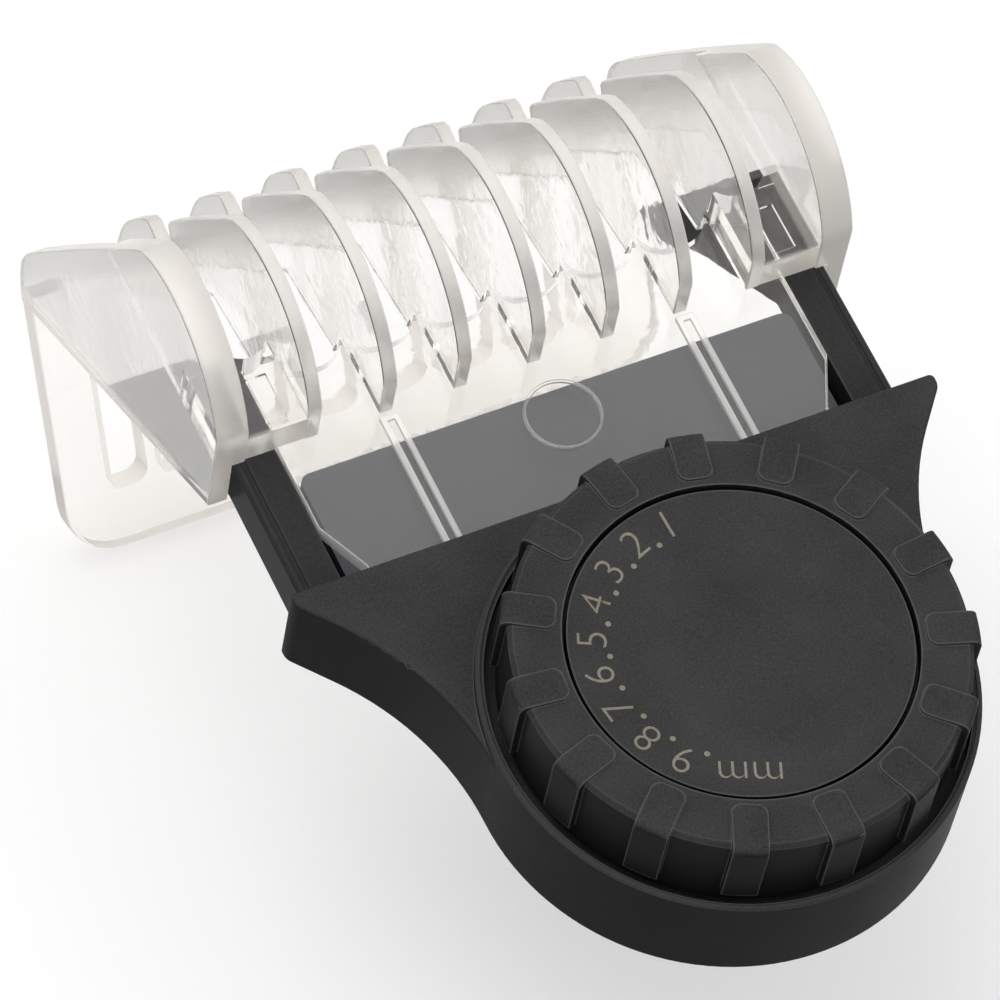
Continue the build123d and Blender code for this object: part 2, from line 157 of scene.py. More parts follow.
def spread(material, value, middle, below, above):
    """A value between 0 and 1 brought to run from middle - below to middle + above."""
    node = add_node(material, "ShaderNodeMapRange")
    node.inputs["To Min"].default_value = middle - below
    node.inputs["To Max"].default_value = middle + above
    link(material, value, node.inputs["Value"])
    return node.outputs["Result"]


def bump_from(material, shader, height, strength, distance):
    """Bump on a shader, from a height output."""
    bump = add_node(material, "ShaderNodeBump", Strength=strength, Distance=distance)
    link(material, height, bump.inputs["Height"])
    link(material, bump.outputs["Normal"], shader.inputs["Normal"])


# ---------------------------------------------------------------- opaque materials
CLOUD_SCALE = 140.0
GRAIN_SHARE = 0.6
TONE_START, TONE_STOP = 0.35, 0.68
GLOSS_SWING = 0.06
GRAIN_STRENGTH = 0.5
LOW_SPECULAR = 0.025
# painted shade on upright faces: how much darker they are made, and the normal's Z over which it fades in
PAINTED_SIDE_SHADE = 0.45
PAINTED_SIDE_SHADE_FADE = (0.85, 0.1)
# paler edges, partly wear and partly a painted highlight along the rounded edges
WEAR_AND_HIGHLIGHT_RADIUS = 0.22 * MM
WEAR_AND_HIGHLIGHT_START, WEAR_AND_HIGHLIGHT_FULL = 0.995, 0.8
WEAR_AND_HIGHLIGHT_SAMPLES = 6


def edge_mask(material):
    """One near an edge, nought elsewhere: where a rounded normal leaves the true one."""
    round_normal = add_node(material, "ShaderNodeBevel", Radius=WEAR_AND_HIGHLIGHT_RADIUS)
    round_normal.samples = WEAR_AND_HIGHLIGHT_SAMPLES
    true_normal = add_node(material, "ShaderNodeNewGeometry").outputs["True Normal"]
    compare = add_node(material, "ShaderNodeVectorMath")
    compare.operation = "DOT_PRODUCT"
    mask = add_node(material, "ShaderNodeMapRange")
    mask.inputs["From Min"].default_value = WEAR_AND_HIGHLIGHT_START
    mask.inputs["From Max"].default_value = WEAR_AND_HIGHLIGHT_FULL
    link(material, round_normal.outputs["Normal"], compare.inputs[0])
    link(material, true_normal, compare.inputs[1])
    link(material, compare.outputs["Value"], mask.inputs["Value"])
    return mask.outputs["Result"]


def moulded_plastic(name, dark, light, roughness, grain_scale, grain_height, wear_and_highlight=None):
    """Moulded plastic: spark-eroded grain, cloudy tone, uneven gloss, painted shade on the sides, paler
    edges of wear and painted highlight.
    """
    material, shader = new_material(name)
    coordinates = add_node(material, "ShaderNodeTexCoord")
    place = coordinates.outputs["Object"]
    cloud = add_node(material, "ShaderNodeTexNoise", Scale=CLOUD_SCALE, Detail=3.0)
    grain = add_node(material, "ShaderNodeTexNoise", Scale=grain_scale, Detail=2.0, Roughness=0.6)
    speck = add_node(material, "ShaderNodeMix", Factor=GRAIN_SHARE)
    link(material, place, cloud.inputs["Vector"])
    link(material, place, grain.inputs["Vector"])
    link(material, cloud.outputs["Fac"], speck.inputs["A"])
    link(material, grain.outputs["Fac"], speck.inputs["B"])

    colour = colour_ramp(material, speck.outputs["Result"], dark, light, TONE_START, TONE_STOP)
    # painted shade: upright faces get a darker colour than the tops, standing in for the shade the sides
    # are in
    facing = split(material, coordinates.outputs["Normal"])
    side = ramp(material, facing["Z"], *PAINTED_SIDE_SHADE_FADE)
    colour = mix_colours(material, side, colour, [c * PAINTED_SIDE_SHADE for c in dark])
    # pale edges: wear, together with a painted highlight on the rounded edges
    if wear_and_highlight:
        colour = mix_colours(material, edge_mask(material), colour, wear_and_highlight)
    link(material, colour, shader.inputs["Base Color"])

    gloss = spread(material, cloud.outputs["Fac"], roughness, GLOSS_SWING, GLOSS_SWING)
    link(material, gloss, shader.inputs["Roughness"])
    shader.inputs["Specular IOR Level"].default_value = LOW_SPECULAR
    bump_from(material, shader, grain.outputs["Fac"], GRAIN_STRENGTH, grain_height)
    return material


BRUSH_SCALE = 900.0
BRUSH_DARK = 0.85
BRUSH_GLOSS_SWING = (0.08, 0.1)


def brushed_metal(name, colour, roughness):
    """Metal with a fine uneven tone and gloss."""
    material, shader = new_material(name)
    place = add_node(material, "ShaderNodeTexCoord").outputs["Object"]
    lines = add_node(material, "ShaderNodeTexNoise", Scale=BRUSH_SCALE, Detail=3.0)
    link(material, place, lines.inputs["Vector"])
    tint = colour_ramp(material, lines.outputs["Fac"], [c * BRUSH_DARK for c in colour], colour)
    gloss = spread(material, lines.outputs["Fac"], roughness, *BRUSH_GLOSS_SWING)
    link(material, tint, shader.inputs["Base Color"])
    link(material, gloss, shader.inputs["Roughness"])
    shader.inputs["Metallic"].default_value = 1.0
    return material


def grey(value):
    """A neutral colour."""
    return (value, value, value)


# the pale edge colour is wear and a painted edge highlight together
PALE_EDGE_WEAR_AND_HIGHLIGHT = grey(0.1)
DEEP_GRAIN = 0.04 * MM
FINE_GRAIN = 0.02 * MM
SATIN_GRAIN = 0.01 * MM

shell_black = moulded_plastic("shell_black", grey(0.029), grey(0.053), 0.46, 6500, DEEP_GRAIN, PALE_EDGE_WEAR_AND_HIGHLIGHT)
dial_black = moulded_plastic("dial_black", grey(0.027), grey(0.051), 0.42, 6500, DEEP_GRAIN, PALE_EDGE_WEAR_AND_HIGHLIGHT)
cap_black = moulded_plastic("cap_black", grey(0.028), grey(0.053), 0.5, 7500, DEEP_GRAIN, PALE_EDGE_WEAR_AND_HIGHLIGHT)
arm_black = moulded_plastic("arm_black", grey(0.026), grey(0.038), 0.36, 4000, FINE_GRAIN, PALE_EDGE_WEAR_AND_HIGHLIGHT)
base_black = moulded_plastic(
    "base_black", (0.074, 0.076, 0.084), (0.092, 0.095, 0.105), 0.4, 6000, SATIN_GRAIN
)
gear_white = moulded_plastic("gear_white", (0.72, 0.70, 0.66), (0.8, 0.79, 0.75), 0.45, 4000, FINE_GRAIN)
print_grey = moulded_plastic("print_grey", (0.17, 0.15, 0.122), (0.25, 0.225, 0.185), 0.6, 5000, FINE_GRAIN)
steel = brushed_metal("plated_steel", (0.62, 0.62, 0.6), 0.3)
brass = brushed_metal("turned_brass", (0.8, 0.6, 0.28), 0.3)

# the screws, the pin and the washers are steel, as are the comb's hidden CAD nodes
NODE_MATERIALS = {
    "housing_shell": shell_black,
    "base_plate": base_black,
    "guide_arm_right": arm_black,
    "guide_arm_left": arm_black,
    "dial_knob": dial_black,
    "dial_cap": cap_black,
    "dial_pinion": gear_white,
    "drive_rack": gear_white,
    "rack_stud_1": gear_white,
    "rack_stud_2": gear_white,
    "pivot_bush": brass,
}


# ---------------------------------------------------------------- carried CAD nodes
EDGE_ROUND = {
    "housing_shell": 0.12 * MM,
    "base_plate": 0.08 * MM,
    "guide_arm_right": 0.15 * MM,
    "guide_arm_left": 0.15 * MM,
    "dial_knob": 0.12 * MM,
    "dial_cap": 0.1 * MM,
}
ROUND_ABOVE = math.radians(28.0)
WELD_WITHIN = 0.004 * MM
EVEN_WEIGHT = 100


def shade_smooth_group():
    """A geometry group that shades every face smooth."""
    group = bpy.data.node_groups.new("shade_smooth", "GeometryNodeTree")
    group.interface.new_socket("Geometry", in_out="INPUT", socket_type="NodeSocketGeometry")
    group.interface.new_socket("Geometry", in_out="OUTPUT", socket_type="NodeSocketGeometry")
    start = group.nodes.new("NodeGroupInput")
    smooth = group.nodes.new("GeometryNodeSetShadeSmooth")
    stop = group.nodes.new("NodeGroupOutput")
    group.links.new(start.outputs["Geometry"], smooth.inputs["Geometry"])
    group.links.new(smooth.outputs["Geometry"], stop.inputs["Geometry"])
    return group


SHADE_SMOOTH = shade_smooth_group()


def even_normals(thing):
    """Large flat faces keep their own normal, so that only curved ones shade smoothly."""
    even = thing.modifiers.new("even_normals", "WEIGHTED_NORMAL")
    even.mode = "FACE_AREA"
    even.weight = EVEN_WEIGHT
    even.keep_sharp = True


def soften(node, width):
    """Weld the imported facets, round the edges a little and smooth what is curved."""
    weld = node.modifiers.new("weld", "WELD")
    weld.merge_threshold = WELD_WITHIN
    smooth = node.modifiers.new("shade_smooth", "NODES")
    smooth.node_group = SHADE_SMOOTH
    bevel = node.modifiers.new("edge_round", "BEVEL")
    bevel.width = width
    bevel.segments = 2
    bevel.limit_method = "ANGLE"
    bevel.angle_limit = ROUND_ABOVE
    even_normals(node)


for name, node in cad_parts.items():
    for slot in node.material_slots:
        slot.material = NODE_MATERIALS.get(name, steel)
for name, width in EDGE_ROUND.items():
    soften(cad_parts[name], width)


# ---------------------------------------------------------------- mesh helpers
SHARP = math.radians(40)


def mesh_object(name, builder):
    """A mesh object made from a bmesh."""
    mesh = bpy.data.meshes.new(name)
    builder.to_mesh(mesh)
    builder.free()
    thing = bpy.data.objects.new(name, mesh)
    bpy.context.scene.collection.objects.link(thing)
    return thing


def prism(name, outline, start, end, axis="x", edge=0.0):
    """Extrude a closed outline along X (outline in Y, Z) or along Z, with rounded edges."""
    builder = bmesh.new()
    if axis == "x":
        corners = [builder.verts.new((start, y, z)) for y, z in outline]
        step = Vector((end - start, 0, 0))
    else:
        corners = [builder.verts.new((x, y, start)) for x, y in outline]
        step = Vector((0, 0, end - start))
    face = builder.faces.new(corners)
    grown = bmesh.ops.extrude_face_region(builder, geom=[face])
    moved = [v for v in grown["geom"] if isinstance(v, bmesh.types.BMVert)]
    bmesh.ops.translate(builder, verts=moved, vec=step)
    bmesh.ops.recalc_face_normals(builder, faces=builder.faces)
    if edge:
        sharp = [e for e in builder.edges if e.calc_face_angle() > SHARP]
        bmesh.ops.bevel(
            builder, geom=sharp, offset=edge, segments=3, profile=0.5, affect="EDGES", clamp_overlap=True
        )
    return mesh_object(name, builder)


def smooth_by_angle(thing, degrees):
    """Smooth shading, with edges sharper than the angle kept crisp."""
    for face in thing.data.polygons:
        face.use_smooth = True
    thing.data.set_sharp_from_angle(angle=math.radians(degrees))


def box_outline(x0, x1, y0, y1):
    return [(x0, y0), (x1, y0), (x1, y1), (x0, y1)]


def circle(x, y, radius, count=48):
    """Points round a circle, anticlockwise."""
    turns = (2 * math.pi * i / count for i in range(count))
    return [(x + radius * math.cos(t), y + radius * math.sin(t)) for t in turns]


def arc_through(a, b, c, count):
    """Points of the circle through three points, from a to c."""
    ax, ay, bx, by, cx, cy = *a, *b, *c
    turn = 2 * (ax * (by - cy) + bx * (cy - ay) + cx * (ay - by))
    sa, sb, sc = ax * ax + ay * ay, bx * bx + by * by, cx * cx + cy * cy
    ux = (sa * (by - cy) + sb * (cy - ay) + sc * (ay - by)) / turn
    uy = (sa * (cx - bx) + sb * (ax - cx) + sc * (bx - ax)) / turn
    radius = math.hypot(ax - ux, ay - uy)
    first = math.atan2(ay - uy, ax - ux)
    middle = math.atan2(by - uy, bx - ux)
    last = math.atan2(cy - uy, cx - ux)
    span = (last - first) % math.tau
    if (middle - first) % math.tau > span:
        span -= math.tau
    turns = (first + span * i / count for i in range(count + 1))
    return [(ux + radius * math.cos(t), uy + radius * math.sin(t)) for t in turns]


def round_corner(before, corner, after, radius, count=6):
    """Points of a tangent arc that replaces one corner of an outline."""
    p, c, n = Vector(before), Vector(corner), Vector(after)
    u, w = (p - c).normalized(), (n - c).normalized()
    half = u.angle(w) / 2
    reach = radius / math.tan(half)
    centre = c + (u + w).normalized() * (radius / math.sin(half))
    start, stop = c + u * reach - centre, c + w * reach - centre
    turns = (start.slerp(stop, i / count).normalized() for i in range(count + 1))
    return [tuple(centre + turn * radius) for turn in turns]


def rounded(corners):
    """An outline from (point, radius) pairs; a zero radius keeps the corner."""
    points = []
    for i, (corner, radius) in enumerate(corners):
        before, after = corners[i - 1][0], corners[(i + 1) % len(corners)][0]
        if radius == 0:
            points.append(corner)
        else:
            points.extend(round_corner(before, corner, after, radius))
    return points


def combine(target, operation, others):
    """Join or cut with the exact solver, bake the result and drop the tools."""
    tools = bpy.data.collections.new("tools")
    bpy.context.scene.collection.children.link(tools)
    for thing in others:
        bpy.context.scene.collection.objects.unlink(thing)
        tools.objects.link(thing)
    step = target.modifiers.new("step", "BOOLEAN")
    step.operation = operation
    step.operand_type = "COLLECTION"
    step.collection = tools
    step.solver = "EXACT"
    graph = bpy.context.evaluated_depsgraph_get()
    baked = bpy.data.meshes.new_from_object(target.evaluated_get(graph))
    target.modifiers.clear()
    old = target.data
    target.data = baked
    bpy.data.meshes.remove(old)
    for thing in others:
        bpy.data.meshes.remove(thing.data)
    bpy.data.collections.remove(tools)


# ---------------------------------------------------------------- comb, one clear moulding
# its side outlines are in Y and Z, its plate's in X and Y
PITCH = 5.57 * MM
FIN = 1.03 * MM
FIN_PLACES = [(i - 3) * PITCH for i in range(7)]
HALF_WIDTH = 24.0 * MM
CHEEK_LOW = 1.4 * MM
CHEEK_TOP = 2.4 * MM
CHEEK_STEP = 4.0 * MM
INNER_FACE = HALF_WIDTH - CHEEK_TOP
OUTER_FIN = FIN_PLACES[-1] + FIN / 2
EDGE = 0.13 * MM
SMOOTH_UNDER = 32.0
INSET = 0.05 * MM
OVERLAP = 0.3 * MM

PLATE_LOW = 3.0 * MM
PLATE_HIGH = 4.2 * MM
PLATE_SIDE = [(14.6, 5.0), (17.4, 17.2), (17.4, 18.8), (19.2, 22.6), (19.2, 36.3)]
TAIL = [(-9.3, 5.0), (-9.3, -3.0), (-4.7, -3.0), (-4.7, 5.0)]
ROOF_LOW = PLATE_HIGH - 0.2 * MM
ROOF_TOP = 6.7 * MM
ROOF_END = 36.0 * MM
WINDOW_X = (18.4, 20.0)
WINDOW_Y = mm(30.0, 33.7)
WINDOW_FLOOR = 6.45 * MM

TIP = mm(29.3, 7.4)
BACK = mm(34.9, 12.9)
CROWN = mm(42.8, 11.7)
NOSE = mm(60.0, -15.4)
HEEL = mm(44.3, 0.2)
STRIP_END = 36.3 * MM
lead = Vector(NOSE) - Vector(CROWN)
LEAD_MM = lead.length / MM
lead.normalize()
lead_out = Vector((-lead.y, lead.x))
NOTCH = 15.3  # how far down the nose line, in mm, the fins' notch starts

FLAP_THICK = 2.2 * MM
FLAP_LONG = 23.9 * MM
FLAP_TOP = 1.6 * MM
FLAP_JOIN = 2.6 * MM
FLAP_EDGE = 0.3 * MM
FLAP_CORNER = 4.0 * MM
FLAP_LEAN = math.radians(29.8)
flap_down = Vector((-math.sin(FLAP_LEAN), -math.cos(FLAP_LEAN)))
flap_in = Vector((flap_down.y, -flap_down.x))

SLOT_STOP = 4.9 * MM
SLOT_CORNERS = mm(0.5, 1.2)
LAST_SLOT = 20.1 * MM
FIN_SLOT_END = 34.2 * MM
SIDE_SLOT_END = 35.2 * MM
SLOT_FRONT = 40 * MM

RIB_X = 11.2 * MM
RIB_HALF = 0.7 * MM
RIB_Y = mm(11.2, 28.9)
RIB_TOP = PLATE_HIGH + 0.35 * MM
RIB_EDGE = 0.12 * MM
GROOVE_HALF = 0.28 * MM
GROOVE_Y = mm(10, 28.45)
GROOVE_FLOOR = PLATE_HIGH + 0.03 * MM
MARK_Y = 24.7 * MM
MARK_OUTER = 2.75 * MM
MARK_INNER = 2.56 * MM
MARK_TOP = PLATE_HIGH + 0.22 * MM


def along_lead(*places):
    """Points by their distance in mm down the nose line and outwards from it."""
    return [tuple(Vector(CROWN) + lead * down * MM + lead_out * out * MM) for down, out in places]


def on_flap(distance, into):
    return tuple(Vector(NOSE) + flap_down * distance + flap_in * into)


back_curve = arc_through(TIP, BACK, CROWN, 26)[:-1]
fin_nose = along_lead(
    (0.1, 0.04),
    (1.5, 0.25),
    (8.0, 0.5),
    (NOTCH - 0.7, 0.6),
    (NOTCH - 0.1, 0.4),
    (NOTCH + 0.4, -0.6),
    (NOTCH + 0.9, -0.9),
    (NOTCH + 3.2, -0.9),
    (NOTCH + 3.8, -0.4),
    (NOTCH + 4.3, 0.75),
    (NOTCH + 4.9, 1.08),
    (NOTCH + 7.5, 1.15),
    (NOTCH + 9.6, 1.08),
    (NOTCH + 10.8, 0.85),
    (NOTCH + 11.8, 0.5),
    (NOTCH + 12.9, 0.0),
    (NOTCH + 14.3, -0.75),
    (LEAD_MM - 0.6, -1.6),
)
cheek_nose = along_lead(
    (0.1, 0.04),
    (1.5, 0.2),
    (7.0, 0.45),
    (14.2, 0.73),
    (21.0, 0.88),
    (27.6, 0.95),
    (28.6, 0.88),
    (29.5, 0.7),
    (30.3, 0.4),
    (31.0, -0.05),
    (31.7, -0.65),
    (32.3, -1.2),
)
in_flap = [on_flap(FLAP_JOIN, INSET), on_flap(FLAP_JOIN, FLAP_THICK - INSET)]
fin_heel = [
    HEEL,
    (STRIP_END, 1.6 * MM),
    (STRIP_END - 0.3 * MM, PLATE_LOW + OVERLAP),
    (STRIP_END - 0.6 * MM, PLATE_HIGH - OVERLAP),
    (TIP[0], PLATE_HIGH - OVERLAP),
]
cheek_low = [(TIP[0] + 0.5 * MM, -0.7 * MM), (TIP[0] - 0.1 * MM, -0.4 * MM)]
FIN_OUTLINE = back_curve + fin_nose + in_flap + fin_heel
CHEEK_OUTLINE = back_curve + cheek_nose + in_flap + cheek_low


def slot_outline(x0, x1, y_end, y_front, count=20):
    """A hair slot with a round end."""
    radius = (x1 - x0) / 2
    centre = (x0 + x1) / 2
    turns = (math.pi + math.pi * i / count for i in range(count + 1))
    end = [(centre + radius * math.cos(t), y_end + radius + radius * math.sin(t)) for t in turns]
    return end + [(x1, y_front), (x0, y_front)]


def make_roof(side):
    """The top of one end pocket, with the shallow window sunk into it."""
    x0, x1 = sorted((side * (OUTER_FIN - OVERLAP), side * (INNER_FACE + OVERLAP)))
    shape = box_outline(x0, x1, TIP[0] + INSET, ROOF_END)
    roof = prism("roof", shape, ROOF_LOW, ROOF_TOP, "z", EDGE)
    x0, x1 = sorted(side * x * MM for x in WINDOW_X)
    window = prism("window", box_outline(x0, x1, *WINDOW_Y), WINDOW_FLOOR, 8 * MM, "z")
    combine(roof, "DIFFERENCE", [window])
    return roof


def make_plate(gaps):
    """Sliding plate with its tail for the rack, roofs over the arms and slot ends."""
    other_side = [(-x, y) for x, y in reversed(PLATE_SIDE)]
    outline = [mm(*point) for point in PLATE_SIDE + other_side + TAIL]
    plate = prism("comb_body", outline, PLATE_LOW, PLATE_HIGH, "z", EDGE)
    combine(plate, "UNION", [make_roof(side) for side in (-1, 1)])
    cutters = []
    for a, b, end in gaps:
        x0, x1 = a - INSET * (a > -LAST_SLOT), b + INSET * (b < LAST_SLOT)
        cutters.append(prism("slot", slot_outline(x0, x1, end, SLOT_FRONT), 0, 9 * MM, "z"))
    combine(plate, "DIFFERENCE", cutters)
    return plate


def make_flap(gaps):
    """Front flap with rounded lower corners and the lower ends of the slots."""
    half = HALF_WIDTH - INSET
    top, low = FLAP_TOP, FLAP_LONG
    corners = [((-half, top), 0), ((-half, low), FLAP_CORNER), ((half, low), FLAP_CORNER), ((half, top), 0)]
    flap = prism("flap", rounded(corners), 0, FLAP_THICK, "z", FLAP_EDGE)
    holes = []
    for a, b, _ in gaps:
        x0, x1 = max(a + INSET, -LAST_SLOT), min(b - INSET, LAST_SLOT)
        shape = [
            ((x0, top - 2 * MM), 0),
            ((x0, low - SLOT_STOP), SLOT_CORNERS[0]),
            ((x1, low - SLOT_STOP), SLOT_CORNERS[1]),
            ((x1, top - 2 * MM), 0),
        ]
        holes.append(prism("hole", rounded(shape), -1 * MM, 4 * MM, "z"))
    combine(flap, "DIFFERENCE", holes)
    turn = Matrix(((1, 0, 0), (0, *flap_down), (0, *flap_in))).transposed().to_4x4()
    turn.translation = Vector((0, *NOSE))
    flap.data.transform(turn)
    if turn.determinant() < 0:
        flap.data.flip_normals()
    return flap


def make_cheek(side):
    """One end cheek, thinner below its inner step."""
    x0, x1 = sorted((side * INNER_FACE, side * HALF_WIDTH))
    cheek = prism("cheek", CHEEK_OUTLINE, x0, x1, "x", EDGE)
    x0, x1 = sorted((side * (INNER_FACE - 2 * MM), side * (HALF_WIDTH - CHEEK_LOW)))
    whole_cheek_below = box_outline(25 * MM, 70 * MM, -40 * MM, CHEEK_STEP)
    combine(cheek, "DIFFERENCE", [prism("below", whole_cheek_below, x0, x1)])
    return cheek


def make_rib(side):
    """One double rib of the plate, a low bar with a groove along it."""
    x = side * RIB_X
    bar = box_outline(x - RIB_HALF, x + RIB_HALF, *RIB_Y)
    rib = prism("rib", bar, PLATE_HIGH - OVERLAP, RIB_TOP, "z", RIB_EDGE)
    groove = box_outline(x - GROOVE_HALF, x + GROOVE_HALF, *GROOVE_Y)
    combine(rib, "DIFFERENCE", [prism("groove", groove, GROOVE_FLOOR, PLATE_HIGH + 1 * MM, "z")])
    return rib


def make_mark():
    """The round mark of the plate, a thin raised ring."""
    low = PLATE_HIGH - OVERLAP
    mark = prism("mark", circle(0, MARK_Y, MARK_OUTER), low, MARK_TOP, "z")
    hollow = prism("hollow", circle(0, MARK_Y, MARK_INNER), low - 1 * MM, MARK_TOP + 1 * MM, "z")
    combine(mark, "DIFFERENCE", [hollow])
    return mark


def make_comb():
    """Plate, roofs, fins, cheeks, marks and flap, joined into one closed body."""
    gaps = [(a + FIN / 2, b - FIN / 2, FIN_SLOT_END) for a, b in zip(FIN_PLACES, FIN_PLACES[1:])]
    side_gap = (OUTER_FIN, LAST_SLOT + 0.5 * MM)
    gaps.append((side_gap[0], side_gap[1], SIDE_SLOT_END))
    gaps.append((-side_gap[1], -side_gap[0], SIDE_SLOT_END))
    plate = make_plate(gaps)
    parts = [make_flap(gaps)]
    for x in FIN_PLACES:
        parts.append(prism("fin", FIN_OUTLINE, x - FIN / 2, x + FIN / 2, "x", EDGE))
    for side in (-1, 1):
        parts += [make_cheek(side), make_rib(side)]
    parts.append(make_mark())
    combine(plate, "UNION", parts)
    return plate


# ---------------------------------------------------------------- the comb's clear plastic
# each pair says where a mask is off and where it is fully on
NARROW = (0.95, 0.5)
UPRIGHT = (0.97, 0.8)
ABOVE_ROOFS = mm(6.75, 7.0)
NEAR_NOSE = mm(-1.4, -0.8)
DOWN_FLAP = mm(1.2, 2.4)
BELOW_PLATE = mm(-2, -4)
ON_PLATE = mm(30.0, 29.0)
RAISED = (PLATE_HIGH + 0.17 * MM, PLATE_HIGH + 0.27 * MM)
RIM = mm(-5.0, 0.6)
CHEEKS = mm(21.2, 21.7)
ABOVE_FLAP = mm(2.4, 1.2)
CHEEK_MILK = 0.6

CLEAR_DARK = (0.95, 0.945, 0.935)
CLEAR_LIGHT = (0.985, 0.98, 0.97)
# grey of the milky rim and cheeks; on the nose rim it is also painted shade for the darkness seen through
# the nose
MILK_AND_SHADE_GREY = (0.7, 0.69, 0.675)
FROST = (0.97, 0.945, 0.915)
LOST_TO_MILK = (0.05, 0.36)
LOST_TO_FROST = (0.0, 0.45)
POLISH = (0.02, 0.06)
MILK_ROUGHNESS = 0.12
FROST_ROUGHNESS = 0.4
DEPTH_COLOUR = (0.84, 0.79, 0.70)
DEPTH_DENSITY = 60.0
CLEAR_IOR = 1.49
FLOW_SCALE = 330.0
FLOW_STRENGTH = 0.2
FLOW_HEIGHT = 0.1 * MM


def frost_mask(material, place, normal):
    """The narrow edges of fins, cheeks and flap, the plate's edges and its raised marks."""
    where, facing = split(material, place), split(material, normal)
    narrow = ramp(material, size_of(material, facing["X"]), *NARROW)
    above = ramp(material, where["Z"], *ABOVE_ROOFS)
    nose = ramp(material, distance_from(material, place, CROWN, lead_out), *NEAR_NOSE)
    side_edges = both(material, narrow, either(material, above, nose))

    flap_edges = ramp(material, size_of(material, along(material, normal, flap_in)), *NARROW)
    on_flap_only = ramp(material, distance_from(material, place, NOSE, flap_down), *DOWN_FLAP)
    flap_edges = both(material, flap_edges, on_flap_only)
    flap_edges = both(material, flap_edges, ramp(material, where["Z"], *BELOW_PLATE))

    upright = ramp(material, size_of(material, facing["Z"]), *UPRIGHT)
    raised = ramp(material, where["Z"], *RAISED)
    on_plate = ramp(material, where["Y"], *ON_PLATE)
    marks = both(material, either(material, upright, raised), on_plate)
    return either(material, either(material, side_edges, flap_edges), marks)


def milk_mask(material, place):
    """The rim along the nose line, milky and greyed with painted shade, and less strongly the milky end
    cheeks.
    """
    rim = ramp(material, distance_from(material, place, CROWN, lead_out), *RIM)
    cheeks = ramp(material, size_of(material, split(material, place)["X"]), *CHEEKS)
    above_flap = ramp(material, distance_from(material, place, NOSE, flap_down), *ABOVE_FLAP)
    cheeks = rescale(material, both(material, cheeks, above_flap), 0.0, CHEEK_MILK)
    return either(material, rim, cheeks)


def let_light_through(material, shader):
    """Tint with depth, and let light pass straight through on its way to what lies behind."""
    depth = add_node(material, "ShaderNodeVolumeAbsorption", Density=DEPTH_DENSITY)
    depth.inputs["Color"].default_value = (*DEPTH_COLOUR, 1)
    path = add_node(material, "ShaderNodeLightPath")
    through = add_node(material, "ShaderNodeBsdfTransparent")
    lit = add_node(material, "ShaderNodeMixShader")
    link(material, path.outputs["Is Shadow Ray"], lit.inputs[0])
    link(material, shader.outputs["BSDF"], lit.inputs[1])
    link(material, through.outputs["BSDF"], lit.inputs[2])
    output = material.node_tree.nodes["Material Output"]
    link(material, lit.outputs["Shader"], output.inputs["Surface"])
    link(material, depth.outputs["Volume"], output.inputs["Volume"])


def clear_plastic(name):
    """Clear moulding: frosted narrow edges, a milky rim greyed with painted shade, milky end cheeks, faint
    flow ripples.
    """
    material, shader = new_material(name)
    shader.inputs["IOR"].default_value = CLEAR_IOR
    coordinates = add_node(material, "ShaderNodeTexCoord")
    place = coordinates.outputs["Object"]
    frost = frost_mask(material, place, coordinates.outputs["Normal"])
    milk_and_shade = milk_mask(material, place)
    flow_noise = add_node(material, "ShaderNodeTexNoise", Scale=FLOW_SCALE, Detail=2.0, Distortion=0.8)
    link(material, place, flow_noise.inputs["Vector"])
    flow = flow_noise.outputs["Fac"]

    colour = colour_ramp(material, flow, CLEAR_DARK, CLEAR_LIGHT)
    # the rim along the nose is milky and greyed with painted shade; the end cheeks are only milky
    colour = mix_colours(material, milk_and_shade, colour, MILK_AND_SHADE_GREY)
    colour = mix_colours(material, frost, colour, FROST)
    link(material, colour, shader.inputs["Base Color"])

    lost_to_milk = rescale(material, milk_and_shade, *LOST_TO_MILK)
    lost_to_frost = rescale(material, frost, *LOST_TO_FROST)
    lost = either(material, lost_to_milk, lost_to_frost)
    link(material, rescale(material, lost, 1.0, 0.0), shader.inputs["Transmission Weight"])

    blur = either(material, rescale(material, flow, *POLISH), rescale(material, milk_and_shade, 0.0, MILK_ROUGHNESS))
    blur = either(material, blur, rescale(material, frost, 0.0, FROST_ROUGHNESS))
    link(material, blur, shader.inputs["Roughness"])
    bump_from(material, shader, flow, FLOW_STRENGTH, FLOW_HEIGHT)
    let_light_through(material, shader)
    return material


comb = make_comb()
comb.name = "comb_body"
comb.data.materials.clear()
comb.data.materials.append(clear_plastic("comb_clear"))
smooth_by_angle(comb, SMOOTH_UNDER)
even_normals(comb)
comb_nodes = ["comb_plate", "comb_flap", "comb_cheek_left", "comb_cheek_right"]
comb_nodes += [f"comb_tooth_{i}" for i in range(1, 8)]
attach(comb, "comb")
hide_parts(*comb_nodes)

# ---------------------------------------------------------------- printed numbers on the cap
CAP_R = 11.55 * MM
CAP_TOP = 13.5 * MM
DISH_DEEP = 0.4 * MM
DISH_RIM = CAP_R - 0.5 * MM
PRINT_RING = 9.75 * MM
PRINT_HIGH = 0.015 * MM
DIGIT_SIZE = 3.0 * MM
STROKE_THINNING = 0.045 * MM
DOT_RADIUS = 0.2 * MM
DOT_RING = PRINT_RING - 0.95 * MM
FIRST_ANGLE = 94.0
STEP_ANGLE = 15.9
UNIT_ANGLE = 247.4


def dish_height(x, y):
    """Height of the cap's dished top."""
    r = min(math.hypot(x, y), DISH_RIM)
    return CAP_TOP - DISH_DEEP * (1 - (r / DISH_RIM) ** 2)


